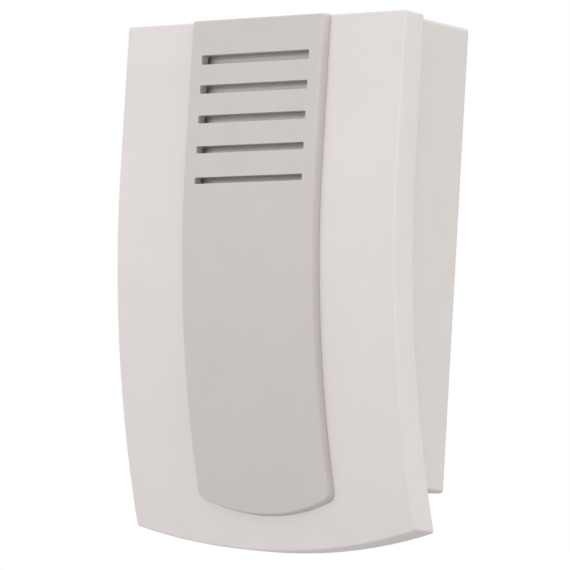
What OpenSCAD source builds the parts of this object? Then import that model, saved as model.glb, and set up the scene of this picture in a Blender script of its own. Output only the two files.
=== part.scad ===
// Wall-mounted two-tone chime box: a shallow back tray, a bowed front cover with a
// slotted grey insert, and a solenoid that throws a striker between two tone bars.
// The tray's back lies on the wall at y = 0, the front looks along -y, z points up.
// Lengths are in millimetres. The origin is the middle of the tray's back face.

/* [Cover] */
// Width of the cover across its sides
cover_w = 103; // [100:1:112]
// Height of the cover down to the middle of its bowed lower edge
cover_h = 150; // [146:1:160]
// Wall thickness of the moulded cover
cover_wall = 2.2; // [1.8:0.1:2.4]
// Distance from the wall to the flat upper front
front_depth = 30; // [29.5:0.5:34]
// Depth of the rim that turns back along the cover's edges
lip_depth = 8.3; // [7.5:0.1:9.5]
// Height of the flat part of the front, from the top edge down
flat_h = 42; // [40:1:50]
// Radius of the curve that sweeps the lower front back to the wall
curve_r = 315; // [310:5:380]
// Bow of the lower edge, its middle below its corners
bottom_sag = 6.4; // [4:0.1:8]

/* [Insert] */
// Width of the grey insert
insert_w = 49; // [46:1:54]
// Height of the insert's face above the flat part of the cover's front
insert_raise = 3; // [2.8:0.1:3.6]
// Height of the insert's face above the cover's front at the insert's lower edge
insert_raise_low = 2.3; // [2:0.1:3.2]
// Thickness of the insert's face
insert_wall = 2.8; // [2.2:0.1:3]
// Lower edge of the insert above the lower edge of the cover
insert_foot = 9.9; // [8:0.1:14]
// Bow of the insert's lower edge, its middle below its corners
insert_sag = 4.9; // [3:0.1:6]
// Radius of the insert's lower corners
insert_corner = 3; // [2:0.5:5]
// Recess in the cover that the insert stands in
pocket_depth = 1.7; // [1.2:0.1:2]
// Thickness of the recess floor
pocket_floor = 2; // [1.6:0.1:2.2]

/* [Slots] */
// Number of slots in the insert
slot_count = 5; // [3:1:6]
// Length of each slot
slot_w = 39.8; // [34:0.2:42]
// Middle of the first slot below the cover's top edge
slot_first = 11.5; // [10.5:0.1:14]
// Distance from the first slot to the second
slot_pitch = 8.5; // [8:0.1:10]
// Growth of that distance from slot to slot
slot_pitch_step = 0.12; // [0:0.01:0.2]
// Height of the first slot
slot_h_first = 2.7; // [2:0.05:3]
// Height of the last slot
slot_h_last = 1.85; // [1.4:0.05:3]
// Height of the cover's own sound slots, behind the insert's bars
sound_slot_h = 3; // [2:0.1:4]

/* [Tray] */
// Step from the cover's side in to the tray's side
side_step = 1.2; // [0.8:0.1:1.6]
// Step from the cover's top down to the tray's top
top_step = 0.85; // [0.5:0.05:1.4]
// Lower edge of the tray above the lower edge of the cover
tray_foot = 17.8; // [14:0.2:20]
// Thickness of the tray's floor
tray_floor = 3; // [2.8:0.1:3.4]
// Thickness of the tongue that stands inside the cover's rim
tongue_t = 1.2; // [1:0.1:1.6]
// Play between the cover and the tray
fit_gap = 0.3; // [0.25:0.05:0.4]

/* [Wall fixing] */
// Distance between the two wall screw holes
wall_screw_span = 108; // [100:1:110]
// Radius of the wall screw holes
wall_screw_r = 2.3; // [1.8:0.1:2.6]
// Radius of the cable bore in the rubber grommet
cable_r = 3; // [2:0.1:3.5]
// Cable bore left of the middle
cable_x = -24; // [-26:1:-20]

/* [Tone bars] */
// Length of the low bar on the left
bar_low_len = 104; // [96:1:106]
// Length of the high bar on the right
bar_high_len = 92; // [84:1:94]
// Width of both bars
bar_w = 14; // [12:0.5:14]
// Thickness of both bars
bar_t = 2.5; // [2:0.1:3]
// Distance from the tray's inner side to the middle of a bar
bar_room = 7.8; // [7.6:0.1:9]
// Space between the low bar's upper end and the tray
bar_head_room = 2.9; // [2:0.1:6]

/* [Solenoid] */
// Height of the solenoid's axis above the middle of the tray
coil_rise = 8; // [4:1:12]
// Diameter of the steel plunger
plunger_d = 8; // [7:0.1:8.2]
// Length of the steel plunger
plunger_len = 24; // [20:1:26]
// Diameter of the striker rods
rod_d = 4.5; // [4:0.1:5]
// Gap between a resting striker and its bar
strike_gap = 4; // [3:0.1:4.5]
// Radius of the bobbin's flanges
flange_r = 9.5; // [9:0.1:9.6]
// Radius of the winding
winding_r = 8.6; // [7.5:0.1:8.8]
// Thickness of the steel yoke
yoke_t = 1.5; // [1:0.1:1.6]
// Length of each return spring at rest
spring_len = 9; // [8:0.5:10]
// Curls in each return spring
spring_turns = 5; // [3:1:6]
// Wire diameter of the return springs
spring_wire = 0.6; // [0.4:0.1:0.7]

/* [Terminals] */
// Width of the terminal block
block_w = 24; // [22:1:28]
// Depth of the terminal block from the tray's floor
block_d = 10; // [9:0.5:11]
// Height of the terminal block
block_h = 16; // [14:0.5:18]
// Middle of the terminal block above the tray's lower edge
block_rise = 26; // [25:1:30]
// Distance between the two clamps
clamp_span = 14; // [13:0.5:16]
// Radius of the wire bore in a clamp
wire_bore_r = 1.6; // [1.2:0.1:1.7]
// Radius of the coil leads
lead_r = 0.8; // [0.5:0.1:1]

/* [Hidden] */
$fn = 64;
curve_fn = 720;
// overshoot of cutting shapes and the reach of shapes that are cut to size later
cut = 1;
reach = 400;
// levels of the cover and the tray
tray_h = cover_h - top_step - tray_foot;
tray_top = tray_h / 2;
tray_low = -tray_h / 2;
cover_top = tray_top + top_step;
cover_low = cover_top - cover_h;
bend_z = cover_top - flat_h;
bottom_r = (pow(cover_w / 2, 2) + pow(bottom_sag, 2)) / (2 * bottom_sag);
// insert
insert_over = 0.15;
insert_top = cover_top + insert_over;
insert_low = cover_low + insert_foot;
insert_r = (pow(insert_w / 2, 2) + pow(insert_sag, 2)) / (2 * insert_sag);
insert_dip = bend_z - insert_low;
insert_drop = front_y(insert_low) + front_depth + insert_raise - insert_raise_low;
insert_curve_r = (pow(insert_dip, 2) + pow(insert_drop, 2)) / (2 * insert_drop);
skirt_t = 1.6;
seat_gap = 0.1;
pocket_gap = 0.15;
peg_hole_r = 1.6;
insert_peg_r = 1.5;
peg_edge = 6.5;
peg_top = 5.5;
peg_foot = 12;
insert_peg_x = insert_w / 2 - peg_edge;
insert_peg_z = [cover_top - peg_top, insert_low + peg_foot];
corner_steps = 6;
foot_steps = 24;
// tray
tray_half = cover_w / 2 - side_step;
tongue_half = cover_w / 2 - cover_wall - fit_gap;
tray_corner = tray_half - tongue_half - seat_gap;
quarter = 90;
tongue_top = cover_top - cover_wall - fit_gap;
tongue_front = pocket_depth + pocket_floor + fit_gap;
cavity_half = tongue_half - tongue_t;
cavity_top = tongue_top - tongue_t;
cavity_low = tray_low + tray_half - cavity_half;
boss_wall = 3;
boss_r = wall_screw_r + boss_wall;
boss_h = 1.5;
// tone bars, hung at the still points of their lowest note
still_point = 0.224;
bar_x = cavity_half - bar_room;
bar_mid = cavity_top - bar_head_room - bar_low_len / 2;
bar_y = (front_y(bar_mid - bar_low_len / 2) + cover_wall - tray_floor) / 2;
low_hang = bar_low_len * (0.5 - still_point);
high_hang = bar_high_len * (0.5 - still_point);
hang_gap = 0.15;
bar_peg_r = 1.5;
bar_peg_head_r = 3;
bar_peg_head_t = 1;
grommet_r = 3.4;
grommet_flange_r = 5;
grommet_flange_t = 1.2;
grommet_half = bar_t / 2 + grommet_flange_t;
lug_in = bar_x + grommet_half + hang_gap;
lug_t = 3;
lug_out = lug_in + lug_t;
lug_w = 10;
lug_over = 5;
lug_front = bar_y - lug_over;
hangers = [[-1, bar_mid - low_hang], [-1, bar_mid + low_hang],
    [1, bar_mid - high_hang], [1, bar_mid + high_hang]];
// striker and solenoid, from the bars inward
tip_x = bar_x - bar_t / 2 - strike_gap;
tip_len = 2.5;
collar_t = 1.5;
collar_r = 6.7;
collar_in = tip_x - tip_len - collar_t;
yoke_half = collar_in - spring_len;
bobbin_half = yoke_half - yoke_t - seat_gap;
bobbin_flange_t = 1.5;
flange_mid = bobbin_half - bobbin_flange_t / 2;
bobbin_wall = 1.2;
bobbin_tube_r = plunger_d / 2 + bobbin_wall;
plunger_fit = 0.08;
coil_clear = 0.5;
coil_y = -(tray_floor + yoke_t + coil_clear + flange_r);
core_left = -(yoke_half - yoke_t - strike_gap - seat_gap);
core_right = core_left + plunger_len;
spigot_r = 1.5;
spigot_len = 5;
socket_len = spigot_len + seat_gap;
spigot_fit = 0.05;
rod_r = rod_d / 2;
dome_r = 3;
yoke_w = 2 * flange_r;
yoke_front = coil_y - flange_r;
ear_r = 4;
ear_in = 8;
ear_root = 1;
ear_x = yoke_half - ear_in;
ear_z = yoke_w / 2 + ear_r - ear_root;
screw_r = 1.4;
screw_fit = 0.05;
screw_hole_r = 1.7;
screw_head_r = 2.8;
screw_head_t = 2;
screw_skin = 0.6;
screw_bite = tray_floor - screw_skin;
driver_w = 0.8;
driver_d = 0.9;
// return springs
spring_clear = 0.3;
spring_r = bobbin_tube_r + spring_clear + spring_wire / 2;
spring_gap = 0.15;
spring_steps = 12;
spring_sides = 6;
// terminals
block_z = tray_low + block_rise;
block_low = block_z - block_h / 2;
block_top = block_z + block_h / 2;
block_front = -(tray_floor + block_d);
clamp_rise = 4.6;
clamp_y = -(tray_floor + clamp_rise);
clamp_r = 3;
clamp_gap = 0.15;
clamp_sink = 1.5;
clamp_half = block_h / 2 - clamp_sink;
term_screw_r = 1.45;
term_head_r = 2.4;
term_head_t = 1.6;
term_well_r = 2.7;
term_thread_r = 1.5;
term_head_sink = 2.2;
term_head_y = block_front + term_head_sink;
block_screw_sink = 2.4;
block_screw_y = block_front + block_screw_sink;
block_screw_well_r = 3.2;
// cable grommet
cable_rise = 13;
cable_z = tray_low + cable_rise;
cable_wall = 2.5;
cable_hole_r = cable_r + cable_wall;
cable_flange_w = 4;
cable_flange_r = cable_r + cable_flange_w;
cable_flange_t = 1.2;
cable_gap = 0.2;
cable_recess_r = cable_flange_r + cable_gap;
cable_recess_d = cable_flange_t + cable_gap;
cable_front = -(tray_floor + cable_flange_t + cable_gap);
// coil leads
lead_in = 2;
lead_start_x = bobbin_half - bobbin_flange_t - lead_in;
lead_stop = 1.5;
lead_end_z = block_z + lead_stop;
lead_fit = 0.05;
lead_bend = 12;
lead_steps = 14;
lead_sides = 12;

// place of the front surface at a height
function front_y(z) = z >= bend_z ? -front_depth
    : -front_depth + curve_r - sqrt(pow(curve_r, 2) - pow(bend_z - z, 2));

// place of the insert's face at a height
function insert_y(z) = insert_curve_r - front_depth - insert_raise
    - sqrt(pow(insert_curve_r, 2) - pow(max(bend_z - z, 0), 2));

// middle of a slot, counted from the top, and its height
function slot_z(k) = cover_top - slot_first - k * slot_pitch - slot_pitch_step * k * (k - 1) / 2;
function slot_h(k) = slot_h_first + (slot_h_last - slot_h_first) * k / (slot_count - 1);

// side view of everything behind the front surface, moved back by an inset
module front_profile(inset, lead, r) {
    translate([inset - front_depth - lead, bend_z])
        square([front_depth + lead - inset + reach, reach]);
    intersection() {
        translate([r - front_depth - lead, bend_z])
            circle(r = r - inset, $fn = curve_fn);
        translate([-front_depth - reach, bend_z - reach])
            square([front_depth + 2 * reach, reach]);
    }
}

module behind_front(inset) {
    rotate([90, 0, 90])
        linear_extrude(height = reach, center = true)
            front_profile(inset, 0, curve_r);
}

// the same for the insert, which stands forward and sweeps back a little more
module behind_insert(inset) {
    rotate([90, 0, 90])
        linear_extrude(height = reach, center = true)
            front_profile(inset, insert_raise, insert_curve_r);
}

// layer between two surfaces parallel to the front
module front_layer(near, far) {
    difference() {
        behind_front(near);
        behind_front(far);
    }
}

// front view of the cover, drawn in by an inset
module cover_outline(inset) {
    rotate([90, 0, 0])
        linear_extrude(height = reach, center = true)
            intersection() {
                translate([-cover_w / 2 + inset, cover_low - cut])
                    square([cover_w - 2 * inset, cover_h + cut - inset]);
                translate([0, cover_low + bottom_r])
                    circle(r = bottom_r - inset, $fn = curve_fn);
            }
}

// front view of the insert, drawn in by an inset: sides, round corners and bowed lower edge
function insert_points(inset) = let (
    half = insert_w / 2 - inset,
    corner = insert_corner - inset / 2,
    foot_r = insert_r - inset,
    foot_mid = insert_low + insert_r,
    mid_x = half - corner,
    mid_z = foot_mid - sqrt(pow(foot_r - corner, 2) - pow(mid_x, 2)),
    turn = atan2(mid_z - foot_mid, mid_x),
    right = [for (k = [0 : corner_steps])
        [mid_x + corner * cos(turn * k / corner_steps), mid_z + corner * sin(turn * k / corner_steps)]],
    foot = [for (k = [1 : foot_steps - 1])
        let (a = turn - (180 + 2 * turn) * k / foot_steps)
            [foot_r * cos(a), foot_mid + foot_r * sin(a)]],
    left = [for (k = [corner_steps : -1 : 0]) [-right[k][0], right[k][1]]])
    concat([[half, insert_top - inset]], right, foot, left, [[-half, insert_top - inset]]);

module insert_outline(inset) {
    rotate([90, 0, 0])
        linear_extrude(height = reach, center = true)
            polygon(insert_points(inset));
}

// front view of the tray with its round corners
function tray_points() = [for (q = [0 : 3], k = [0 : corner_steps])
    let (a = quarter * (q + k / corner_steps))
        [(q == 0 || q == 3 ? 1 : -1) * (tray_half - tray_corner) + tray_corner * cos(a),
            (q < 2 ? 1 : -1) * (tray_h / 2 - tray_corner) + tray_corner * sin(a)]];

module tray_outline() {
    rotate([90, 0, 0])
        linear_extrude(height = reach)
            polygon(tray_points());
}

// round rods along the three axes
module x_rod(y, z, r, from, to) {
    translate([from, y, z])
        rotate([0, 90, 0])
            cylinder(r = r, h = to - from);
}

module y_rod(x, z, r, from, to) {
    translate([x, to, z])
        rotate([90, 0, 0])
            cylinder(r = r, h = to - from);
}

module z_rod(x, y, r, from, to) {
    translate([x, y, from])
        cylinder(r = r, h = to - from);
}

// box between two corners
module block(low, high) {
    translate(low)
        cube(high - low);
}

// pan head screw along y with its head in front, under-head face at y
module pan_screw(x, y, z, len) {
    difference() {
        union() {
            y_rod(x, z, screw_r, y, y + len);
            y_rod(x, z, screw_head_r, y - screw_head_t, y);
        }
        block([x - screw_head_r - cut, y - screw_head_t - cut, z - driver_w / 2],
            [x + screw_head_r + cut, y - screw_head_t + driver_d, z + driver_w / 2]);
    }
}

// point on a smooth curve from a to d that leaves towards b and arrives from c
function curve(a, b, c, d, t) = pow(1 - t, 3) * a + 3 * pow(1 - t, 2) * t * b + 3 * (1 - t) * t * t * c
    + pow(t, 3) * d;

function unit(v) = v / norm(v);

// wire drawn along a path, with one outward direction for each point of the path
module wire(path, outs, r, sides) {
    last = len(path) - 1;
    rings = [for (i = [0 : last])
        let (along = unit(path[min(i + 1, last)] - path[max(i - 1, 0)]),
            n = unit(outs[i] - along * (outs[i] * along)),
            b = cross(along, n))
        for (s = [0 : sides - 1])
            path[i] + r * (cos(360 * s / sides) * n + sin(360 * s / sides) * b)];
    skin = [for (i = [0 : last - 1])
        for (s = [0 : sides - 1])
            let (t = (s + 1) % sides, p = i * sides, q = p + sides)
                each [[p + s, q + s, q + t], [p + s, q + t, p + t]]];
    first_cap = [for (s = [0 : sides - 1]) s];
    last_cap = [for (s = [sides - 1 : -1 : 0]) last * sides + s];
    polyhedron(points = rings, faces = concat([first_cap], skin, [last_cap]));
}

// coil lead from the winding down to its clamp, straight at both ends
module lead(side) {
    top = [side * lead_start_x, coil_y, coil_rise - winding_r - lead_fit];
    out = top - [0, 0, 2 * lead_r];
    foot = [side * clamp_span / 2, clamp_y, block_top + 2 * lead_r];
    end = [foot[0], foot[1], lead_end_z];
    path = concat([top],
        [for (k = [0 : lead_steps])
            curve(out, out - [0, 0, lead_bend], foot + [0, 0, lead_bend], foot, k / lead_steps)],
        [end]);
    wire(path, [for (p = path) [0, 1, 0]], lead_r, lead_sides);
}

// path of a return spring: straight, curled, straight
function spring_path(from, to) = let (
    rise = to - from,
    lead = spring_wire,
    last = spring_turns * spring_steps)
    concat([[from, spring_r, 0]],
        [for (k = [0 : last])
            [from + sign(rise) * lead + (rise - 2 * sign(rise) * lead) * k / last,
                spring_r * cos(360 * k / spring_steps), spring_r * sin(360 * k / spring_steps)]],
        [[to, spring_r, 0]]);

// least distance between two stretches of the wire that are not neighbours
function least_gap(path) = min([for (i = [0 : len(path) - 1])
    for (j = [i + spring_steps / 2 : 1 : len(path) - 1])
        norm(path[i] - path[j])]) - spring_wire;

module return_spring(side) {
    path = spring_path(side * (yoke_half + spring_gap), side * (collar_in - spring_gap));
    echo("least gap between spring curls", least_gap(path));
    translate([0, coil_y, coil_rise])
        wire(path, [for (p = path) [0, p[1], p[2]]], spring_wire / 2, spring_sides);
}

// nylon striker: spigot in the plunger, rod, collar for the spring and domed tip
module striker(side, root) {
    from = side * root;
    translate([0, coil_y, coil_rise])
        mirror([side < 0 ? 1 : 0, 0, 0]) {
            x_rod(0, 0, spigot_r, from - spigot_len, from + cut);
            x_rod(0, 0, rod_r, from, tip_x - dome_r / 2);
            x_rod(0, 0, collar_r, collar_in, collar_in + collar_t);
            intersection() {
                translate([tip_x - dome_r, 0, 0])
                    sphere(r = dome_r);
                block([tip_x - dome_r, -dome_r, -dome_r], [tip_x + cut, dome_r, dome_r]);
            }
            x_rod(0, 0, dome_r, collar_in + collar_t - cut, tip_x - dome_r);
        }
}

// tone bar with a hole at each still point
module tone_bar(side, len, hang) {
    difference() {
        block([side * bar_x - bar_t / 2, bar_y - bar_w / 2, bar_mid - len / 2],
            [side * bar_x + bar_t / 2, bar_y + bar_w / 2, bar_mid + len / 2]);
        for (z = [bar_mid - hang, bar_mid + hang])
            x_rod(bar_y, z, grommet_r + hang_gap, side * bar_x - bar_t, side * bar_x + bar_t);
    }
}

module tray() {
    color([0.87, 0.86, 0.84])
        difference() {
            union() {
                difference() {
                    union() {
                        intersection() {
                            tray_outline();
                            behind_front(lip_depth + fit_gap);
                        }
                        intersection() {
                            block([-tongue_half, -reach, tray_low], [tongue_half, 0, tongue_top]);
                            behind_front(tongue_front);
                        }
                    }
                    block([-cavity_half, -reach, cavity_low], [cavity_half, -tray_floor, cavity_top]);
                }
                for (s = [-1, 1])
                    y_rod(0, s * wall_screw_span / 2, boss_r, -tray_floor - boss_h, 0);
                for (h = hangers)
                    mirror([h[0] < 0 ? 1 : 0, 0, 0])
                        block([lug_in, lug_front, h[1] - lug_w / 2], [lug_out, 0, h[1] + lug_w / 2]);
            }
            for (s = [-1, 1])
                y_rod(0, s * wall_screw_span / 2, wall_screw_r, -tray_floor - boss_h - cut, cut);
            for (h = hangers)
                x_rod(bar_y, h[1], bar_peg_r + spigot_fit, h[0] < 0 ? -lug_out - cut : lug_in - cut,
                    h[0] < 0 ? -lug_in + cut : lug_out + cut);
            for (s = [-1, 1])
                y_rod(s * ear_x, coil_rise + s * ear_z, screw_r + screw_fit, -tray_floor - cut,
                    -tray_floor + screw_bite);
            y_rod(0, block_z, screw_r + screw_fit, -tray_floor - cut, -tray_floor + screw_bite);
            y_rod(cable_x, cable_z, cable_hole_r, -tray_floor - cut, cut);
            y_rod(cable_x, cable_z, cable_recess_r, -cable_recess_d, cut);
        }
}

module front_cover() {
    color([0.9, 0.89, 0.88])
        difference() {
            union() {
                difference() {
                    intersection() {
                        cover_outline(0);
                        front_layer(0, lip_depth);
                    }
                    intersection() {
                        cover_outline(cover_wall);
                        behind_front(cover_wall);
                    }
                }
                intersection() {
                    insert_outline(-pocket_gap - pocket_floor);
                    cover_outline(0);
                    front_layer(cover_wall / 2, pocket_depth + pocket_floor);
                }
            }
            intersection() {
                insert_outline(-pocket_gap);
                front_layer(-insert_raise, pocket_depth);
            }
            for (k = [0 : slot_count - 2])
                block([-slot_w / 2, -reach, (slot_z(k) + slot_z(k + 1) - sound_slot_h) / 2],
                    [slot_w / 2, 0, (slot_z(k) + slot_z(k + 1) + sound_slot_h) / 2]);
            for (x = [-insert_peg_x, insert_peg_x])
                for (z = insert_peg_z)
                    y_rod(x, z, peg_hole_r, -front_depth - cut, 0);
        }
}

module grille_insert() {
    color([0.79, 0.77, 0.75])
        difference() {
            union() {
                difference() {
                    intersection() {
                        insert_outline(0);
                        behind_insert(0);
                    }
                    behind_insert(insert_wall);
                }
                difference() {
                    intersection() {
                        insert_outline(0);
                        behind_insert(0);
                    }
                    behind_front(pocket_depth - seat_gap);
                    insert_outline(skirt_t);
                }
                for (x = [-insert_peg_x, insert_peg_x])
                    for (z = insert_peg_z)
                        y_rod(x, z, insert_peg_r, insert_y(z) + insert_wall / 2,
                            front_y(z) + pocket_depth + pocket_floor - seat_gap);
            }
            for (k = [0 : slot_count - 1])
                block([-slot_w / 2, -reach, slot_z(k) - slot_h(k) / 2],
                    [slot_w / 2, 0, slot_z(k) + slot_h(k) / 2]);
        }
}

module solenoid_yoke() {
    color([0.7, 0.72, 0.74])
        difference() {
            union() {
                block([-yoke_half, -tray_floor - yoke_t, coil_rise - yoke_w / 2],
                    [yoke_half, -tray_floor, coil_rise + yoke_w / 2]);
                for (s = [-1, 1])
                    block([s * (yoke_half - yoke_t / 2) - yoke_t / 2, yoke_front, coil_rise - yoke_w / 2],
                        [s * (yoke_half - yoke_t / 2) + yoke_t / 2, -tray_floor, coil_rise + yoke_w / 2]);
                for (s = [-1, 1])
                    y_rod(s * ear_x, coil_rise + s * ear_z, ear_r, -tray_floor - yoke_t, -tray_floor);
            }
            x_rod(coil_y, coil_rise, bobbin_tube_r + seat_gap, -yoke_half - cut, yoke_half + cut);
            for (s = [-1, 1])
                y_rod(s * ear_x, coil_rise + s * ear_z, screw_hole_r, -tray_floor - yoke_t - cut, 0);
        }
}

module coil_bobbin() {
    color([0.92, 0.9, 0.82])
        difference() {
            union() {
                x_rod(coil_y, coil_rise, bobbin_tube_r, -yoke_half, yoke_half);
                for (s = [-1, 1])
                    x_rod(coil_y, coil_rise, flange_r, s * flange_mid - bobbin_flange_t / 2,
                        s * flange_mid + bobbin_flange_t / 2);
            }
            x_rod(coil_y, coil_rise, plunger_d / 2 + plunger_fit, -yoke_half - cut, yoke_half + cut);
        }
}

module coil_winding() {
    color([0.72, 0.4, 0.2])
        difference() {
            x_rod(coil_y, coil_rise, winding_r, -bobbin_half + bobbin_flange_t + seat_gap,
                bobbin_half - bobbin_flange_t - seat_gap);
            x_rod(coil_y, coil_rise, bobbin_tube_r + seat_gap, -bobbin_half, bobbin_half);
        }
}

module plunger_core() {
    color([0.62, 0.63, 0.65])
        difference() {
            x_rod(coil_y, coil_rise, plunger_d / 2, core_left, core_right);
            x_rod(coil_y, coil_rise, spigot_r + spigot_fit, core_left - cut, core_left + socket_len);
            x_rod(coil_y, coil_rise, spigot_r + spigot_fit, core_right - socket_len, core_right + cut);
        }
}

module striker_left() {
    color([0.93, 0.92, 0.88])
        striker(-1, core_left - seat_gap);
}

module striker_right() {
    color([0.93, 0.92, 0.88])
        striker(1, core_right + seat_gap);
}

module return_spring_left() {
    color([0.75, 0.76, 0.78])
        return_spring(-1);
}

module return_spring_right() {
    color([0.75, 0.76, 0.78])
        return_spring(1);
}

module tone_bar_low() {
    color([0.68, 0.69, 0.71])
        tone_bar(-1, bar_low_len, low_hang);
}

module tone_bar_high() {
    color([0.68, 0.69, 0.71])
        tone_bar(1, bar_high_len, high_hang);
}

module bar_grommets() {
    color([0.12, 0.12, 0.12])
        for (h = hangers)
            translate([h[0] * bar_x, 0, 0])
                difference() {
                    union() {
                        x_rod(bar_y, h[1], grommet_r, -grommet_half, grommet_half);
                        x_rod(bar_y, h[1], grommet_flange_r, -grommet_half, -bar_t / 2 - hang_gap);
                        x_rod(bar_y, h[1], grommet_flange_r, bar_t / 2 + hang_gap, grommet_half);
                    }
                    x_rod(bar_y, h[1], bar_peg_r + hang_gap, -grommet_half - cut, grommet_half + cut);
                }
}

module bar_pegs() {
    color([0.9, 0.89, 0.85])
        for (h = hangers)
            mirror([h[0] < 0 ? 1 : 0, 0, 0]) {
                x_rod(bar_y, h[1], bar_peg_r, bar_x - grommet_half - hang_gap, lug_out);
                x_rod(bar_y, h[1], bar_peg_head_r, bar_x - grommet_half - hang_gap - bar_peg_head_t,
                    bar_x - grommet_half - hang_gap);
            }
}

module yoke_screws() {
    color([0.78, 0.78, 0.76])
        for (s = [-1, 1])
            pan_screw(s * ear_x, -tray_floor - yoke_t, coil_rise + s * ear_z, yoke_t + screw_bite - seat_gap);
}

module terminal_block() {
    color([0.83, 0.82, 0.78])
        difference() {
            block([-block_w / 2, block_front, block_low], [block_w / 2, -tray_floor, block_top]);
            for (s = [-1, 1]) {
                z_rod(s * clamp_span / 2, clamp_y, clamp_r + clamp_gap, block_low - cut, block_top + cut);
                y_rod(s * clamp_span / 2, block_z, term_well_r, block_front - cut, clamp_y);
            }
            y_rod(0, block_z, screw_hole_r, block_front - cut, 0);
            y_rod(0, block_z, block_screw_well_r, block_front - cut, block_screw_y);
        }
}

module terminal_clamps() {
    color([0.8, 0.66, 0.36])
        for (s = [-1, 1])
            difference() {
                z_rod(s * clamp_span / 2, clamp_y, clamp_r, block_z - clamp_half, block_z + clamp_half);
                z_rod(s * clamp_span / 2, clamp_y, wire_bore_r, block_low - cut, block_top + cut);
                y_rod(s * clamp_span / 2, block_z, term_thread_r, clamp_y - clamp_r - cut, clamp_y);
            }
}

module terminal_screws() {
    color([0.76, 0.76, 0.74])
        for (s = [-1, 1])
            difference() {
                union() {
                    y_rod(s * clamp_span / 2, block_z, term_screw_r, term_head_y, clamp_y - lead_r);
                    y_rod(s * clamp_span / 2, block_z, term_head_r, term_head_y - term_head_t, term_head_y);
                }
                translate([s * clamp_span / 2, term_head_y - term_head_t, block_z])
                    block([-driver_w / 2, -cut, -term_well_r], [driver_w / 2, driver_d, term_well_r]);
            }
}

module block_screw() {
    color([0.78, 0.78, 0.76])
        pan_screw(0, block_screw_y, block_z, -tray_floor + screw_bite - seat_gap - block_screw_y);
}

module lead_left() {
    color([0.75, 0.12, 0.1])
        lead(-1);
}

module lead_right() {
    color([0.1, 0.1, 0.1])
        lead(1);
}

module cable_grommet() {
    color([0.13, 0.13, 0.13])
        difference() {
            union() {
                y_rod(cable_x, cable_z, cable_hole_r - cable_gap, cable_front, -seat_gap);
                y_rod(cable_x, cable_z, cable_flange_r, -seat_gap - cable_flange_t, -seat_gap);
                y_rod(cable_x, cable_z, cable_flange_r, cable_front, cable_front + cable_flange_t);
            }
            y_rod(cable_x, cable_z, cable_r, cable_front - cut, cut);
        }
}

tray();
front_cover();
grille_insert();
solenoid_yoke();
coil_bobbin();
coil_winding();
plunger_core();
striker_left();
striker_right();
return_spring_left();
return_spring_right();
tone_bar_low();
tone_bar_high();
bar_grommets();
bar_pegs();
yoke_screws();
terminal_block();
terminal_clamps();
terminal_screws();
block_screw();
lead_left();
lead_right();
cable_grommet();
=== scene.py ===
import math

import bmesh
import bpy
from mathutils import Matrix, Vector


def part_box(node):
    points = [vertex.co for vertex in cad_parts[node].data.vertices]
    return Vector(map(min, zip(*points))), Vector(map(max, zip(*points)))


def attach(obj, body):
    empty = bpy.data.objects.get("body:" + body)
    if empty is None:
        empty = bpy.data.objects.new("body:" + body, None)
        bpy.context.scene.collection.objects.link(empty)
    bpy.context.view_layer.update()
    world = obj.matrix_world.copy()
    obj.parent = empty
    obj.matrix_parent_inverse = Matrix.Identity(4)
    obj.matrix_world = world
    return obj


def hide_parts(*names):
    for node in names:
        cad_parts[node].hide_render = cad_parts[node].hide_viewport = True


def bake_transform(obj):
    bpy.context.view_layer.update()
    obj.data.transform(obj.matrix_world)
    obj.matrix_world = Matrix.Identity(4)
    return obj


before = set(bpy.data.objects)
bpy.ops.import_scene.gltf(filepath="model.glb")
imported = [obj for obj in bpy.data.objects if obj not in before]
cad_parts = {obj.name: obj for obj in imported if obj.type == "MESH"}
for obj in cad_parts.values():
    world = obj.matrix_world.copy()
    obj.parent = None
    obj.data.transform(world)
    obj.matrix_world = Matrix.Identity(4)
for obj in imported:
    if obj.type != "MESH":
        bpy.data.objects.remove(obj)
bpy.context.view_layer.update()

# Lengths are in millimetres, as in the part's source, and MM brings them to Blender's metres
MM = 0.001
# Points closer than this are one point
MERGE = 0.004 * MM
# Angles in degrees: creases that stay sharp in shading, and edges of the solids that get a bevel
CREASE = 35
BEVEL_FROM = 30

# Cover
COVER_W = 103.0
COVER_H = 150.0
COVER_WALL = 2.2
FRONT_DEPTH = 30.0
LIP_DEPTH = 8.3
FLAT_H = 42.0
CURVE_R = 315.0
BOTTOM_SAG = 6.4
TOP_STEP = 0.85
TRAY_FOOT = 17.8
TRAY_H = COVER_H - TOP_STEP - TRAY_FOOT
COVER_TOP = TRAY_H / 2 + TOP_STEP
COVER_LOW = COVER_TOP - COVER_H
BEND_Z = COVER_TOP - FLAT_H

# Insert and its recess
INSERT_W = 49.0
INSERT_RAISE = 3.0
INSERT_RAISE_LOW = 2.3
INSERT_WALL = 2.8
INSERT_FOOT = 9.9
INSERT_SAG = 4.9
INSERT_CORNER = 3.0
INSERT_OVER = 0.15
INSERT_TOP = COVER_TOP + INSERT_OVER
INSERT_LOW = COVER_LOW + INSERT_FOOT
POCKET_DEPTH = 1.7
POCKET_FLOOR = 2.0
POCKET_GAP = 0.05
SEAT_GAP = 0.1
SKIRT_T = 1.6
SKIRT_END = POCKET_DEPTH - SEAT_GAP
PEG_R = 1.5
PEG_HOLE_R = 1.6
PEG_X = 18.0
PEG_TOP = 5.5
PEG_FOOT = 12.0
PEGS = [(x, z) for x in (-PEG_X, PEG_X) for z in (COVER_TOP - PEG_TOP, INSERT_LOW + PEG_FOOT)]

# Slots
SLOT_COUNT = 5
SLOT_W = 39.8
SLOT_FIRST = 11.5
SLOT_PITCH = 8.5
SLOT_STEP = 0.12
SLOT_H_FIRST = 2.7
SLOT_H_LAST = 1.85
SOUND_SLOT_H = 3.0

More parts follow.
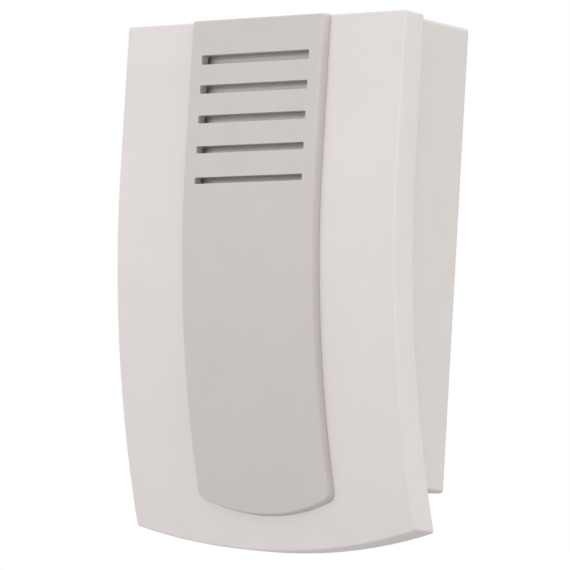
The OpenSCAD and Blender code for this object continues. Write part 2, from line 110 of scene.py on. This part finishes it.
# Round edges of the moulded pieces, which the solids leave sharp
COVER_EDGE = 0.55
COVER_EDGE_STEPS = 6
COVER_CORNER = 1.0
COVER_TOP_CORNER = 0.6
RIM_ROUND = 0.35
RIM_ROUND_MID = 0.1
RIM_INNER_ROUND = 0.3
COVER_FOLD = 0.8
COVER_FOLD_MID = 0.25
INSERT_EDGE_SIDE = 0.9
INSERT_EDGE_TOP = 0.6
INSERT_EDGE_FOOT = 0.45
INSERT_ROLL = 1.9
INSERT_EDGE_STEPS = 8
INSERT_TOP_CORNER = 0.9
SKIRT_ROUND = 0.25
INSERT_FOLD = 0.5
INSERT_FOLD_MID = 0.15
SLOT_ROUND = 0.45
SLOT_LIP = 0.22
SLOT_LIP_FROM = 60
SOUND_SLOT_ROUND = 0.6
MOULD_CREASE = 32
LEAST_CORNER = 0.05

# Reach of the cutting shapes
CUT_NEAR = 4.0
CUT_FAR = 8.0
SLOT_CUT_NEAR = 8.0
SLOT_CUT_STOP = 0.3
POCKET_CUT_TOP = 1.0
POCKET_CUT_NEAR = 2.0
POCKET_BACK_TOP = 0.6

# Solenoid, springs and coil leads
COIL_Y = -14.5
COIL_Z = 8.0
WINDING_R = 8.6
WINDING_BORE_R = 5.3
WINDING_PITCH = 0.62
WINDING_CREASE = 60
SPRING_NEAR = 21.9
SPRING_FAR = 30.6
SPRING_R = 5.8
SPRING_WIRE = 0.6
SPRING_TURNS = 5
SPRING_STEPS = 28
SPRING_SIDES = 10
SPRING_END = 0.6
LEAD_R = 0.8
LEAD_SIDES = 14
LEAD_STEPS = 32
LEAD_BEND = 12.0
LEAD_START_X = 16.65
LEAD_DROP = 8.65
LEAD_START_Z = COIL_Z - LEAD_DROP
LEAD_STOP = 1.5
CLAMP_X = 7.0
CLAMP_Y = -7.6
BLOCK_RISE = 26.0
BLOCK_HALF = 8.0
BLOCK_Z = BLOCK_RISE - TRAY_H / 2
BLOCK_TOP = BLOCK_Z + BLOCK_HALF
WIRE_CREASE = 50


# Surfaces of the front

def swept(place, radius, depth, z):
    """Place at a height, a depth behind a front that is flat above the bend and turns back below it."""
    return place + radius - math.sqrt((radius - depth) ** 2 - max(BEND_Z - z, 0.0) ** 2)


def front_y(z):
    """Place of the cover's front surface at a height."""
    return swept(-FRONT_DEPTH, CURVE_R, 0.0, z)


INSERT_DIP = BEND_Z - INSERT_LOW
INSERT_DROP = front_y(INSERT_LOW) + FRONT_DEPTH + INSERT_RAISE - INSERT_RAISE_LOW
INSERT_R = (INSERT_DIP ** 2 + INSERT_DROP ** 2) / (2 * INSERT_DROP)


def on_cover(depth):
    """Surface parallel to the cover's front, behind it by a depth, as a place for each height."""
    return lambda z: swept(-FRONT_DEPTH, CURVE_R, depth, z)


def on_insert(depth):
    """The same for the insert's face, which sweeps back a little more."""
    return lambda z: swept(-FRONT_DEPTH - INSERT_RAISE, INSERT_R, depth, z)


def slot_z(k):
    """Middle of a slot, counted from the top."""
    return COVER_TOP - SLOT_FIRST - k * SLOT_PITCH - SLOT_STEP * k * (k - 1) / 2


def slot_h(k):
    """Height of a slot, counted from the top."""
    return SLOT_H_FIRST + (SLOT_H_LAST - SLOT_H_FIRST) * k / (SLOT_COUNT - 1)


# Materials

CLOUD_DETAIL = 4.0
GRAIN_DETAIL = 3.0
TONE_FROM = 0.3
TONE_TO = 0.7
LEAST_ROUGH = 0.02
GRAIN_RELIEF = 0.2


def srgb(r, g, b):
    """Linear colour from screen values."""
    def linear(v):
        v /= 255.0
        return v / 12.92 if v <= 0.04045 else ((v + 0.055) / 1.055) ** 2.4
    return (linear(r), linear(g), linear(b))


def material(name, colour, rough, rough_var=0.06, tone_var=0.02, grain=0.0006, bump=0.05, metal=0.0,
             stretch=(1, 1, 1), mottle=0.012):
    """Moulded or metal finish: cloudy tone, fine surface grain in bump and a varied gloss."""
    made = bpy.data.materials.new(name)
    made.use_nodes = True
    nodes = made.node_tree.nodes
    links = made.node_tree.links
    bsdf = nodes["Principled BSDF"]
    bsdf.inputs["Metallic"].default_value = metal
    coord = nodes.new("ShaderNodeTexCoord")
    mapping = nodes.new("ShaderNodeMapping")
    mapping.inputs["Scale"].default_value = stretch
    links.new(coord.outputs["Object"], mapping.inputs["Vector"])
    cloud = nodes.new("ShaderNodeTexNoise")
    cloud.inputs["Scale"].default_value = 1.0 / mottle
    cloud.inputs["Detail"].default_value = CLOUD_DETAIL
    links.new(mapping.outputs["Vector"], cloud.inputs["Vector"])
    tone = nodes.new("ShaderNodeValToRGB")
    dark, light = tone.color_ramp.elements
    dark.position = TONE_FROM
    dark.color = (*[c * (1 - tone_var) for c in colour], 1)
    light.position = TONE_TO
    light.color = (*[min(c * (1 + tone_var), 1.0) for c in colour], 1)
    links.new(cloud.outputs["Fac"], tone.inputs["Fac"])
    links.new(tone.outputs["Color"], bsdf.inputs["Base Color"])
    fine = nodes.new("ShaderNodeTexNoise")
    fine.inputs["Scale"].default_value = 1.0 / grain
    fine.inputs["Detail"].default_value = GRAIN_DETAIL
    links.new(mapping.outputs["Vector"], fine.inputs["Vector"])
    gloss = nodes.new("ShaderNodeMapRange")
    gloss.inputs["To Min"].default_value = max(rough - rough_var, LEAST_ROUGH)
    gloss.inputs["To Max"].default_value = min(rough + rough_var, 1.0)
    links.new(fine.outputs["Fac"], gloss.inputs["Value"])
    links.new(gloss.outputs["Result"], bsdf.inputs["Roughness"])
    relief = nodes.new("ShaderNodeBump")
    relief.inputs["Strength"].default_value = bump
    relief.inputs["Distance"].default_value = grain * GRAIN_RELIEF
    links.new(fine.outputs["Fac"], relief.inputs["Height"])
    links.new(relief.outputs["Normal"], bsdf.inputs["Normal"])
    return made


def steel(name, colour, rough, tone_var=0.05, **more):
    """Bare metal finish."""
    return material(name, colour, rough, metal=1.0, tone_var=tone_var, **more)


WHITE = material("white_cover", srgb(223, 217, 215), rough=0.5, tone_var=0.012)
# The tray's white is set darker than the cover's white: painted shade on the tray's sides
TRAY_SHADED_WHITE = material("white_tray", srgb(215, 210, 206), rough=0.5, tone_var=0.012)
GREY = material("grey_insert", srgb(203, 197, 193), rough=0.48, tone_var=0.012)
ZINC = steel("zinc_steel", srgb(178, 182, 186), rough=0.34, tone_var=0.06, bump=0.12, grain=0.0009)
NYLON = material("natural_nylon", srgb(226, 220, 200), rough=0.45)
COPPER = material("coil_copper", srgb(176, 98, 52), rough=0.3, metal=0.85, tone_var=0.08, bump=0.08)
PLUNGER = steel("plunger_steel", srgb(150, 152, 156), rough=0.3, stretch=(0.05, 1, 1), bump=0.15)
SPRING = steel("spring_steel", srgb(182, 184, 188), rough=0.25)
BAR = steel("bar_steel", srgb(170, 172, 176), rough=0.28, stretch=(1, 1, 0.03), bump=0.2)
RUBBER = material("black_rubber", srgb(38, 38, 39), rough=0.7, tone_var=0.12, bump=0.2)
SCREW = steel("screw_steel", srgb(190, 188, 182), rough=0.3, tone_var=0.06, bump=0.1)
BLOCK = material("block_plastic", srgb(206, 202, 190), rough=0.5)
BRASS = steel("clamp_brass", srgb(196, 160, 92), rough=0.28, tone_var=0.06, bump=0.1)
RED = material("red_lead", srgb(170, 34, 30), rough=0.45, tone_var=0.05)
BLACK = material("black_lead", srgb(34, 34, 36), rough=0.45, tone_var=0.1)


# Mesh helpers

def bare_object(name, bm):
    """Object in the scene from a finished bmesh."""
    bmesh.ops.recalc_face_normals(bm, faces=bm.faces)
    mesh = bpy.data.meshes.new(name)
    bm.to_mesh(mesh)
    bm.free()
    obj = bpy.data.objects.new(name, mesh)
    bpy.context.scene.collection.objects.link(obj)
    return obj


def shade(obj, angle):
    """Smooth shading with creases at sharp edges."""
    obj.data.polygons.foreach_set("use_smooth", [True] * len(obj.data.polygons))
    obj.data.set_sharp_from_angle(angle=math.radians(angle))


def new_object(name, bm, mat, crease=CREASE):
    """The same with a material and its shading."""
    obj = bare_object(name, bm)
    obj.data.materials.append(mat)
    shade(obj, crease)
    return obj


def clean(bm):
    """Merges points that lie on each other and drops faces without area."""
    bmesh.ops.remove_doubles(bm, verts=bm.verts, dist=MERGE)
    bmesh.ops.dissolve_degenerate(bm, dist=MERGE, edges=bm.edges)


def clean_object(obj):
    """The same for an object, once its many-sided faces are cut up so that thin ones are found."""
    bm = bmesh.new()
    bm.from_mesh(obj.data)
    bmesh.ops.triangulate(bm, faces=[f for f in bm.faces if len(f.verts) > 4])
    clean(bm)
    bm.to_mesh(obj.data)
    bm.free()


def apply_modifiers(obj):
    """Replaces the mesh by what its modifiers make of it."""
    bpy.context.view_layer.update()
    deps = bpy.context.evaluated_depsgraph_get()
    done = bpy.data.meshes.new_from_object(obj.evaluated_get(deps))
    obj.modifiers.clear()
    obj.data = done


def boolean(obj, tool, operation):
    """Adds a tool object to a piece or cuts it out, and removes the tool."""
    mod = obj.modifiers.new("cut", "BOOLEAN")
    mod.operation = operation
    mod.solver = "EXACT"
    mod.object = tool
    apply_modifiers(obj)
    mesh = tool.data
    bpy.data.objects.remove(tool)
    bpy.data.meshes.remove(mesh)


def skin(bm, rings):
    """Faces between each ring of points and the next."""
    for a, b in zip(rings, rings[1:]):
        for k in range(len(a)):
            n = (k + 1) % len(a)
            bm.faces.new((a[k], a[n], b[n], b[k]))


def on_circle(mid, r, a):
    """Point of a circle at an angle."""
    return (mid[0] + r * math.cos(a), mid[1] + r * math.sin(a))


def steps(count, first, last):
    """Even steps from one number towards another, without the last."""
    return [first + (last - first) * k / count for k in range(count)]


def outline(inset, top_in, foot_in, half, top, low, sag, corner, top_corner, ends, nx, nz):
    """Front view with a bowed lower edge, as its bottom, right, top and left sides, each in order.

    The sides, the top and the foot are drawn in by their own insets. Each side has nx or nz steps
    between its corners and holds half of the corner at either end, in the given number of steps.
    """
    bow_r = (half ** 2 + sag ** 2) / (2 * sag)
    bow_mid = (0.0, low + bow_r)
    r = max(corner - inset, LEAST_CORNER)
    rt = max(top_corner - top_in, LEAST_CORNER)
    h = half - inset
    t = top - top_in
    bow = bow_r - foot_in
    mid_x = h - r
    mid_z = bow_mid[1] - math.sqrt((bow - r) ** 2 - mid_x ** 2)
    turn = math.atan2(mid_z - bow_mid[1], mid_x)
    top_z = t - rt
    eighth = math.pi / 4

    def mirrored(points):
        return [(-x, z) for x, z in points]

    foot_right = [on_circle((mid_x, mid_z), r, a) for a in steps(ends, turn, turn / 2) + [turn / 2]]
    side_low = [on_circle((mid_x, mid_z), r, a) for a in steps(ends, turn / 2, 0.0)]
    side_top = [on_circle((h - rt, top_z), rt, a) for a in steps(ends, 0.0, eighth) + [eighth]]
    top_right = [on_circle((h - rt, top_z), rt, a) for a in steps(ends, 2 * eighth, eighth) + [eighth]]
    bow_line = [on_circle(bow_mid, bow, a) for a in steps(nx, -math.pi - turn, turn)]
    bottom = mirrored(foot_right[:0:-1]) + bow_line + foot_right
    right = side_low + [(h, z) for z in steps(nz, mid_z, top_z)] + side_top
    upper = mirrored(top_right[:0:-1]) + [(x, t) for x in steps(nx, rt - h, h - rt)] + top_right
    return bottom, right, upper, mirrored(right)


def patch(sides):
    """Grid of points inside four sides."""
    bottom, right, upper, left = sides
    nx, nz = len(bottom) - 1, len(right) - 1
    grid = []
    for j in range(nz + 1):
        v = j / nz
        row = []
        for i in range(nx + 1):
            u = i / nx
            p = []
            for c in (0, 1):
                edge = (1 - v) * bottom[i][c] + v * upper[i][c] + (1 - u) * left[j][c] + u * right[j][c]
                corner = (1 - u) * (1 - v) * bottom[0][c] + u * (1 - v) * bottom[nx][c] \
                    + (1 - u) * v * upper[0][c] + u * v * upper[nx][c]
                p.append(edge - corner)
            row.append(p)
        grid.append(row)
    return grid


def ring_of(bottom, right, upper, left):
    """One closed ring from four sides."""
    return bottom[:-1] + right[:-1] + upper[::-1][:-1] + left[::-1][:-1]


def plate(shape, profile):
    """Closed body between two curved faces.

    The profile goes from the front face round the edge to the back face, as side inset, top inset,
    foot inset and surface. Its first and last are filled with grids.
    """
    bm = bmesh.new()

    def placed(points, surface):
        return [bm.verts.new((x * MM, surface(z) * MM, z * MM)) for x, z in points]

    def face_grid(side, top, foot, surface):
        grid = [placed(row, surface) for row in patch(outline(side, top, foot, **shape))]
        for low_row, high_row in zip(grid, grid[1:]):
            for i in range(len(low_row) - 1):
                bm.faces.new((low_row[i], low_row[i + 1], high_row[i + 1], high_row[i]))
        return ring_of(grid[0], [row[-1] for row in grid], grid[-1], [row[0] for row in grid])

    rings = [face_grid(*profile[0])]
    for side, top, foot, surface in profile[1:-1]:
        rings.append(placed(ring_of(*outline(side, top, foot, **shape)), surface))
    rings.append(face_grid(*profile[-1]))
    skin(bm, rings)
    return bm


def rounded(r, count):
    """Steps of a quarter-round edge from the face to the side, as inset and depth."""
    turns = [math.pi / 2 * k / count for k in range(count + 1)]
    return [(r * (1 - math.sin(a)), r * (1 - math.cos(a))) for a in turns]


def add_slot(bm, z, height, near, far, radius):
    """Level slot along the insert's width between two depths, with round corners."""
    made = bmesh.ops.create_cube(bm, size=1.0)
    size = (SLOT_W, far - near, height)
    mid = (0.0, (near + far) / 2, z)
    for v in made["verts"]:
        v.co = Vector([(c * s + m) * MM for c, s, m in zip(v.co, size, mid)])
    edges = {e for v in made["verts"] for e in v.link_edges
             if abs(e.verts[0].co.y - e.verts[1].co.y) > MERGE}
    bmesh.ops.bevel(bm, geom=list(edges), offset=radius * MM, segments=4, profile=0.5, affect="EDGES")


def add_peg(bm, x, z, r, near, far):
    """Round rod from front to back."""
    made = bmesh.ops.create_cone(bm, cap_ends=True, segments=32, radius1=r * MM, radius2=r * MM,
                                 depth=(far - near) * MM)
    level = Matrix.Rotation(math.pi / 2, 4, "X")
    place = Matrix.Translation((x * MM, (near + far) / 2 * MM, z * MM))
    bmesh.ops.transform(bm, matrix=place @ level, verts=made["verts"])


# Front cover: shell with round edges, recess for the insert, sound slots and peg holes

COVER_SHAPE = dict(half=COVER_W / 2, top=COVER_TOP, low=COVER_LOW, sag=BOTTOM_SAG, corner=COVER_CORNER,
                   top_corner=COVER_TOP_CORNER, ends=4, nx=40, nz=70)
INSERT_SHAPE = dict(half=INSERT_W / 2, top=INSERT_TOP, low=INSERT_LOW, sag=INSERT_SAG, corner=INSERT_CORNER,
                    top_corner=INSERT_TOP_CORNER, ends=5, nx=24, nz=60)


def recess(grow, top_grow, near, far):
    """Solid of the insert's outline between two depths behind the cover's front."""
    profile = [(-grow, -top_grow, -grow, on_cover(d)) for d in (near, far)]
    return bare_object("tool", plate(INSERT_SHAPE, profile))


cover_line = rounded(COVER_EDGE, COVER_EDGE_STEPS) + [
    (0.0, LIP_DEPTH - RIM_ROUND),
    (RIM_ROUND_MID, LIP_DEPTH - RIM_ROUND_MID),
    (RIM_ROUND, LIP_DEPTH),
    (COVER_WALL - RIM_INNER_ROUND, LIP_DEPTH),
    (COVER_WALL, LIP_DEPTH - RIM_INNER_ROUND),
    (COVER_WALL, COVER_WALL + COVER_FOLD),
    (COVER_WALL + COVER_FOLD_MID, COVER_WALL + COVER_FOLD_MID),
    (COVER_WALL + COVER_FOLD, COVER_WALL)]
cover = new_object("cover_shell", plate(COVER_SHAPE, [(i, i, i, on_cover(d)) for i, d in cover_line]), WHITE)
boolean(cover, recess(POCKET_GAP + POCKET_FLOOR, COVER_TOP - POCKET_BACK_TOP - INSERT_TOP, COVER_WALL / 2,
                      POCKET_DEPTH + POCKET_FLOOR), "UNION")
boolean(cover, recess(POCKET_GAP, POCKET_CUT_TOP, -POCKET_CUT_NEAR, POCKET_DEPTH), "DIFFERENCE")
cuts = bmesh.new()
for k in range(SLOT_COUNT - 1):
    add_slot(cuts, (slot_z(k) + slot_z(k + 1)) / 2, SOUND_SLOT_H, -FRONT_DEPTH - CUT_NEAR,
             -FRONT_DEPTH + CUT_FAR, SOUND_SLOT_ROUND)
for x, z in PEGS:
    add_peg(cuts, x, z, PEG_HOLE_R, front_y(z) - CUT_NEAR, front_y(z) + CUT_FAR)
boolean(cover, bare_object("tool", cuts), "DIFFERENCE")
clean_object(cover)
shade(cover, MOULD_CREASE)
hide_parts("front_cover")
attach(cover, "cover")

# Grey insert: raised strip with a broad round edge, a skirt, the slots and its pegs

face_line = [(INSERT_EDGE_SIDE * i, INSERT_EDGE_TOP * i, INSERT_EDGE_FOOT * i, on_insert(INSERT_ROLL * d))
             for i, d in rounded(1.0, INSERT_EDGE_STEPS)]
skirt_line = [
    (0.0, SKIRT_END - SKIRT_ROUND),
    (SKIRT_ROUND, SKIRT_END),
    (SKIRT_T - SKIRT_ROUND, SKIRT_END),
    (SKIRT_T, SKIRT_END - SKIRT_ROUND)]
back_line = [
    (SKIRT_T, INSERT_WALL + INSERT_FOLD),
    (SKIRT_T + INSERT_FOLD_MID, INSERT_WALL + INSERT_FOLD_MID),
    (SKIRT_T + INSERT_FOLD, INSERT_WALL)]
insert_line = face_line + [(i, i, i, on_cover(d)) for i, d in skirt_line] \
    + [(i, i, i, on_insert(d)) for i, d in back_line]
insert = new_object("insert_strip", plate(INSERT_SHAPE, insert_line), GREY)
cuts = bmesh.new()
for k in range(SLOT_COUNT):
    add_slot(cuts, slot_z(k), slot_h(k), -FRONT_DEPTH - SLOT_CUT_NEAR,
             -FRONT_DEPTH + POCKET_DEPTH - SLOT_CUT_STOP, SLOT_ROUND)
boolean(insert, bare_object("tool", cuts), "DIFFERENCE")
pegs = bmesh.new()
for x, z in PEGS:
    add_peg(pegs, x, z, PEG_R, on_insert(INSERT_WALL / 2)(z),
            front_y(z) + POCKET_DEPTH + POCKET_FLOOR - SEAT_GAP)
boolean(insert, bare_object("tool", pegs), "UNION")
lip = insert.modifiers.new("lip", "BEVEL")
lip.width = SLOT_LIP * MM
lip.segments = 3
lip.limit_method = "ANGLE"
lip.angle_limit = math.radians(SLOT_LIP_FROM)
apply_modifiers(insert)
clean_object(insert)
shade(insert, MOULD_CREASE)
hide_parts("grille_insert")
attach(insert, "cover")


# Inner pieces: the solids with their edges broken

SOLID_MERGE = 0.001 * MM
FLAT_WITHIN = 0.6


def softened(node, name, mat, body, width, segments=2):
    """Piece with a node's own shape and bevelled edges, which stands for the node."""
    bm = bmesh.new()
    bm.from_mesh(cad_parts[node].data)
    bmesh.ops.remove_doubles(bm, verts=bm.verts, dist=SOLID_MERGE)
    bmesh.ops.dissolve_limit(bm, angle_limit=math.radians(FLAT_WITHIN), verts=bm.verts, edges=bm.edges)
    sharp = [e for e in bm.edges
             if len(e.link_faces) == 2 and e.calc_face_angle(0.0) > math.radians(BEVEL_FROM)]
    bmesh.ops.bevel(bm, geom=sharp, offset=width * MM, segments=segments, profile=0.5, affect="EDGES",
                    clamp_overlap=True)
    clean(bm)
    obj = new_object(name, bm, mat)
    flat = obj.modifiers.new("flat", "WEIGHTED_NORMAL")
    flat.keep_sharp = True
    apply_modifiers(obj)
    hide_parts(node)
    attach(obj, body)


softened("tray", "back_tray", TRAY_SHADED_WHITE, "base", width=0.4, segments=3)
softened("solenoid_yoke", "yoke_plate", ZINC, "base", width=0.25)
softened("coil_bobbin", "bobbin_body", NYLON, "base", width=0.2)
softened("plunger_core", "plunger_rod", PLUNGER, "striker", width=0.3)
softened("striker_left", "striker_tip_left", NYLON, "striker", width=0.2)
softened("striker_right", "striker_tip_right", NYLON, "striker", width=0.2)
softened("tone_bar_low", "tone_bar_long", BAR, "base", width=0.3)
softened("tone_bar_high", "tone_bar_short", BAR, "base", width=0.3)
softened("bar_grommets", "hanger_grommets", RUBBER, "base", width=0.35)
softened("bar_pegs", "hanger_pegs", NYLON, "base", width=0.25)
softened("yoke_screws", "yoke_fixings", SCREW, "base", width=0.25)
softened("terminal_block", "terminal_body", BLOCK, "base", width=0.3)
softened("terminal_clamps", "wire_clamps", BRASS, "base", width=0.15)
softened("terminal_screws", "clamp_fixings", SCREW, "base", width=0.2)
softened("block_screw", "block_fixing", SCREW, "base", width=0.25)
softened("cable_grommet", "cable_bush", RUBBER, "base", width=0.3)


# Winding with its turns of wire

def winding(name, start, end, sides=72, bulge_steps=4):
    """Ring round the coil's axis with a bulge for each turn of wire."""
    turns = int((end - start) / WINDING_PITCH)
    pitch = (end - start) / turns
    line = [(start, WINDING_BORE_R)]
    for t in range(turns):
        for k in range(bulge_steps):
            a = math.pi * (k + 0.5) / bulge_steps
            line.append((start + pitch * (t + 0.5 - 0.5 * math.cos(a)),
                         WINDING_R - pitch / 2 + pitch / 2 * math.sin(a)))
    line.append((end, WINDING_BORE_R))
    bm = bmesh.new()
    rings = []
    for x, r in line:
        round_axis = [on_circle((COIL_Y, COIL_Z), r, a) for a in steps(sides, 0.0, 2 * math.pi)]
        rings.append([bm.verts.new((x * MM, y * MM, z * MM)) for y, z in round_axis])
    skin(bm, rings + rings[:1])
    obj = new_object(name, bm, COPPER, WINDING_CREASE)
    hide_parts("coil_winding")
    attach(obj, "base")


low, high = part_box("coil_winding")
winding("winding_turns", low[0] / MM, high[0] / MM)


# Wires: springs and coil leads drawn along their paths

def tube(name, path, r, sides, mat):
    """Round wire along a path, closed at both ends."""
    bm = bmesh.new()
    points = [Vector(p) * MM for p in path]
    last = len(points) - 1
    across = None
    rings = []
    for i, p in enumerate(points):
        along = (points[min(i + 1, last)] - points[max(i - 1, 0)]).normalized()
        if across is None:
            across = along.orthogonal().normalized()
        across = (across - along * across.dot(along)).normalized()
        other = along.cross(across)
        rings.append([bm.verts.new(p + (math.cos(a) * across + math.sin(a) * other) * r * MM)
                      for a in steps(sides, 0.0, 2 * math.pi)])
    skin(bm, rings)
    bm.faces.new(rings[0])
    bm.faces.new(rings[-1])
    return new_object(name, bm, mat, WIRE_CREASE)


def spring(name, node, side):
    """Return spring between the yoke and the striker's collar."""
    x0, x1 = side * SPRING_NEAR, side * SPRING_FAR
    end = side * SPRING_WIRE
    last = SPRING_TURNS * SPRING_STEPS
    path = [(x0, COIL_Y + SPRING_R, COIL_Z), (x0 + end * SPRING_END, COIL_Y + SPRING_R, COIL_Z)]
    for k in range(1, last):
        y, z = on_circle((COIL_Y, COIL_Z), SPRING_R, 2 * math.pi * k / SPRING_STEPS)
        path.append((x0 + end + (x1 - x0 - 2 * end) * k / last, y, z))
    path += [(x1 - end * SPRING_END, COIL_Y + SPRING_R, COIL_Z), (x1, COIL_Y + SPRING_R, COIL_Z)]
    obj = tube(name, path, SPRING_WIRE / 2, SPRING_SIDES, SPRING)
    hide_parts(node)
    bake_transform(obj)


spring("spring_coil_left", "return_spring_left", -1)
spring("spring_coil_right", "return_spring_right", 1)


def lead(name, node, side, mat):
    """Coil lead from the winding down into its clamp, straight at both ends."""
    start = Vector((side * LEAD_START_X, COIL_Y, LEAD_START_Z))
    a = start - Vector((0, 0, 2 * LEAD_R))
    b = a - Vector((0, 0, LEAD_BEND))
    d = Vector((side * CLAMP_X, CLAMP_Y, BLOCK_TOP + 2 * LEAD_R))
    c = d + Vector((0, 0, LEAD_BEND))
    path = [start]
    for k in range(LEAD_STEPS + 1):
        t = k / LEAD_STEPS
        path.append((1 - t) ** 3 * a + 3 * (1 - t) ** 2 * t * b + 3 * (1 - t) * t * t * c + t ** 3 * d)
    path.append(Vector((side * CLAMP_X, CLAMP_Y, BLOCK_Z + LEAD_STOP)))
    obj = tube(name, path, LEAD_R, LEAD_SIDES, mat)
    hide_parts(node)
    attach(obj, "base")


lead("lead_wire_left", "lead_left", -1, RED)
lead("lead_wire_right", "lead_right", 1, BLACK)

# Camera at the photograph's place: from the right and a little below, with a slight roll

AZIMUTH = math.radians(40.252)
ELEVATION = math.radians(-5.339)
ROLL = math.radians(3.338)
DISTANCE = 1.4512
TARGET = Vector((5.084, -20.0, 74.951 + COVER_LOW)) * MM
SENSOR = 36.0
FOCAL_PIXELS = 5125.6
IMAGE_PIXELS = 570.0
CLIP_END = 20.0

back = Vector((math.sin(AZIMUTH) * math.cos(ELEVATION), -math.cos(AZIMUTH) * math.cos(ELEVATION),
               math.sin(ELEVATION)))
level = Vector((math.cos(AZIMUTH), math.sin(AZIMUTH), 0.0))
up = back.cross(level)
rolled_right = level * math.cos(ROLL) + up * math.sin(ROLL)
rolled_up = up * math.cos(ROLL) - level * math.sin(ROLL)
lens = bpy.data.cameras.new("camera")
lens.sensor_fit = "HORIZONTAL"
lens.sensor_width = SENSOR
lens.lens = FOCAL_PIXELS * SENSOR / IMAGE_PIXELS
lens.clip_end = CLIP_END
camera = bpy.data.objects.new("camera", lens)
aim = Matrix((rolled_right, rolled_up, back)).transposed().to_4x4()
camera.matrix_world = Matrix.Translation(TARGET + back * DISTANCE) @ aim
bpy.context.scene.collection.objects.link(camera)
bpy.context.scene.camera = camera

# Pale floor, below the photograph's view

FLOOR_HALF = 3.0
FLOOR_Z = -0.26

bm = bmesh.new()
bmesh.ops.create_grid(bm, x_segments=8, y_segments=8, size=FLOOR_HALF)
pale = material("floor_pale", srgb(200, 200, 200), rough=0.7, tone_var=0.004, bump=0.02, grain=0.004,
                mottle=0.3)
floor = new_object("floor", bm, pale)
floor.location = (0, 0, FLOOR_Z)


# Light: a wide key in front, a weak lamp below it, a broad fill from the right and above, and a surround

def area(name, place, width, height, power):
    """Area lamp that looks at the object's middle."""
    data = bpy.data.lights.new(name, "AREA")
    data.shape = "RECTANGLE"
    data.size = width
    data.size_y = height
    data.energy = power
    lamp = bpy.data.objects.new(name, data)
    lamp.location = place
    lamp.rotation_euler = (MIDDLE - Vector(place)).to_track_quat("-Z", "Y").to_euler()
    bpy.context.scene.collection.objects.link(lamp)


MIDDLE = Vector((0, -0.02, 0))
area("key", (-0.2, -3.0, 0.5), width=3.0, height=0.4, power=21.6)
area("low", (-0.2, -3.0, 0.0), width=3.0, height=0.3, power=4.8)
area("fill", (2.25, 0.1, 1.95), width=2.0, height=1.4, power=28.8)

# Surround: a soft sky for the light, and plain white for what the camera sees and reflections show

SKY_STRENGTH = 0.985
SKY_LOW = (0.19, 0.18, 0.17, 1)
SKY_HIGH = (1.0, 1.0, 1.0, 1)

world = bpy.data.worlds.new("surround")
bpy.context.scene.world = world
world.use_nodes = True
nodes = world.node_tree.nodes
links = world.node_tree.links
nodes.clear()
sky = nodes.new("ShaderNodeBackground")
sky.inputs["Strength"].default_value = SKY_STRENGTH
coord = nodes.new("ShaderNodeTexCoord")
split = nodes.new("ShaderNodeSeparateXYZ")
height = nodes.new("ShaderNodeMapRange")
height.inputs["From Min"].default_value = -1.0
height.inputs["From Max"].default_value = 1.0
ramp = nodes.new("ShaderNodeValToRGB")
ramp.color_ramp.elements[0].color = SKY_LOW
ramp.color_ramp.elements[1].color = SKY_HIGH
links.new(coord.outputs["Generated"], split.inputs["Vector"])
links.new(split.outputs["Z"], height.inputs["Value"])
links.new(height.outputs["Result"], ramp.inputs["Fac"])
links.new(ramp.outputs["Color"], sky.inputs["Color"])
plain = nodes.new("ShaderNodeBackground")
plain.inputs["Color"].default_value = (1, 1, 1, 1)
plain.inputs["Strength"].default_value = 1.0
ray = nodes.new("ShaderNodeLightPath")
seen = nodes.new("ShaderNodeMath")
seen.operation = "MAXIMUM"
shown = nodes.new("ShaderNodeMath")
shown.operation = "MAXIMUM"
mix = nodes.new("ShaderNodeMixShader")
out = nodes.new("ShaderNodeOutputWorld")
links.new(ray.outputs["Is Camera Ray"], seen.inputs[0])
links.new(ray.outputs["Is Glossy Ray"], seen.inputs[1])
links.new(seen.outputs["Value"], shown.inputs[0])
links.new(ray.outputs["Is Transmission Ray"], shown.inputs[1])
links.new(shown.outputs["Value"], mix.inputs["Fac"])
links.new(sky.outputs["Background"], mix.inputs[1])
links.new(plain.outputs["Background"], mix.inputs[2])
links.new(mix.outputs["Shader"], out.inputs["Surface"])

bpy.context.scene.view_settings.view_transform = "Standard"
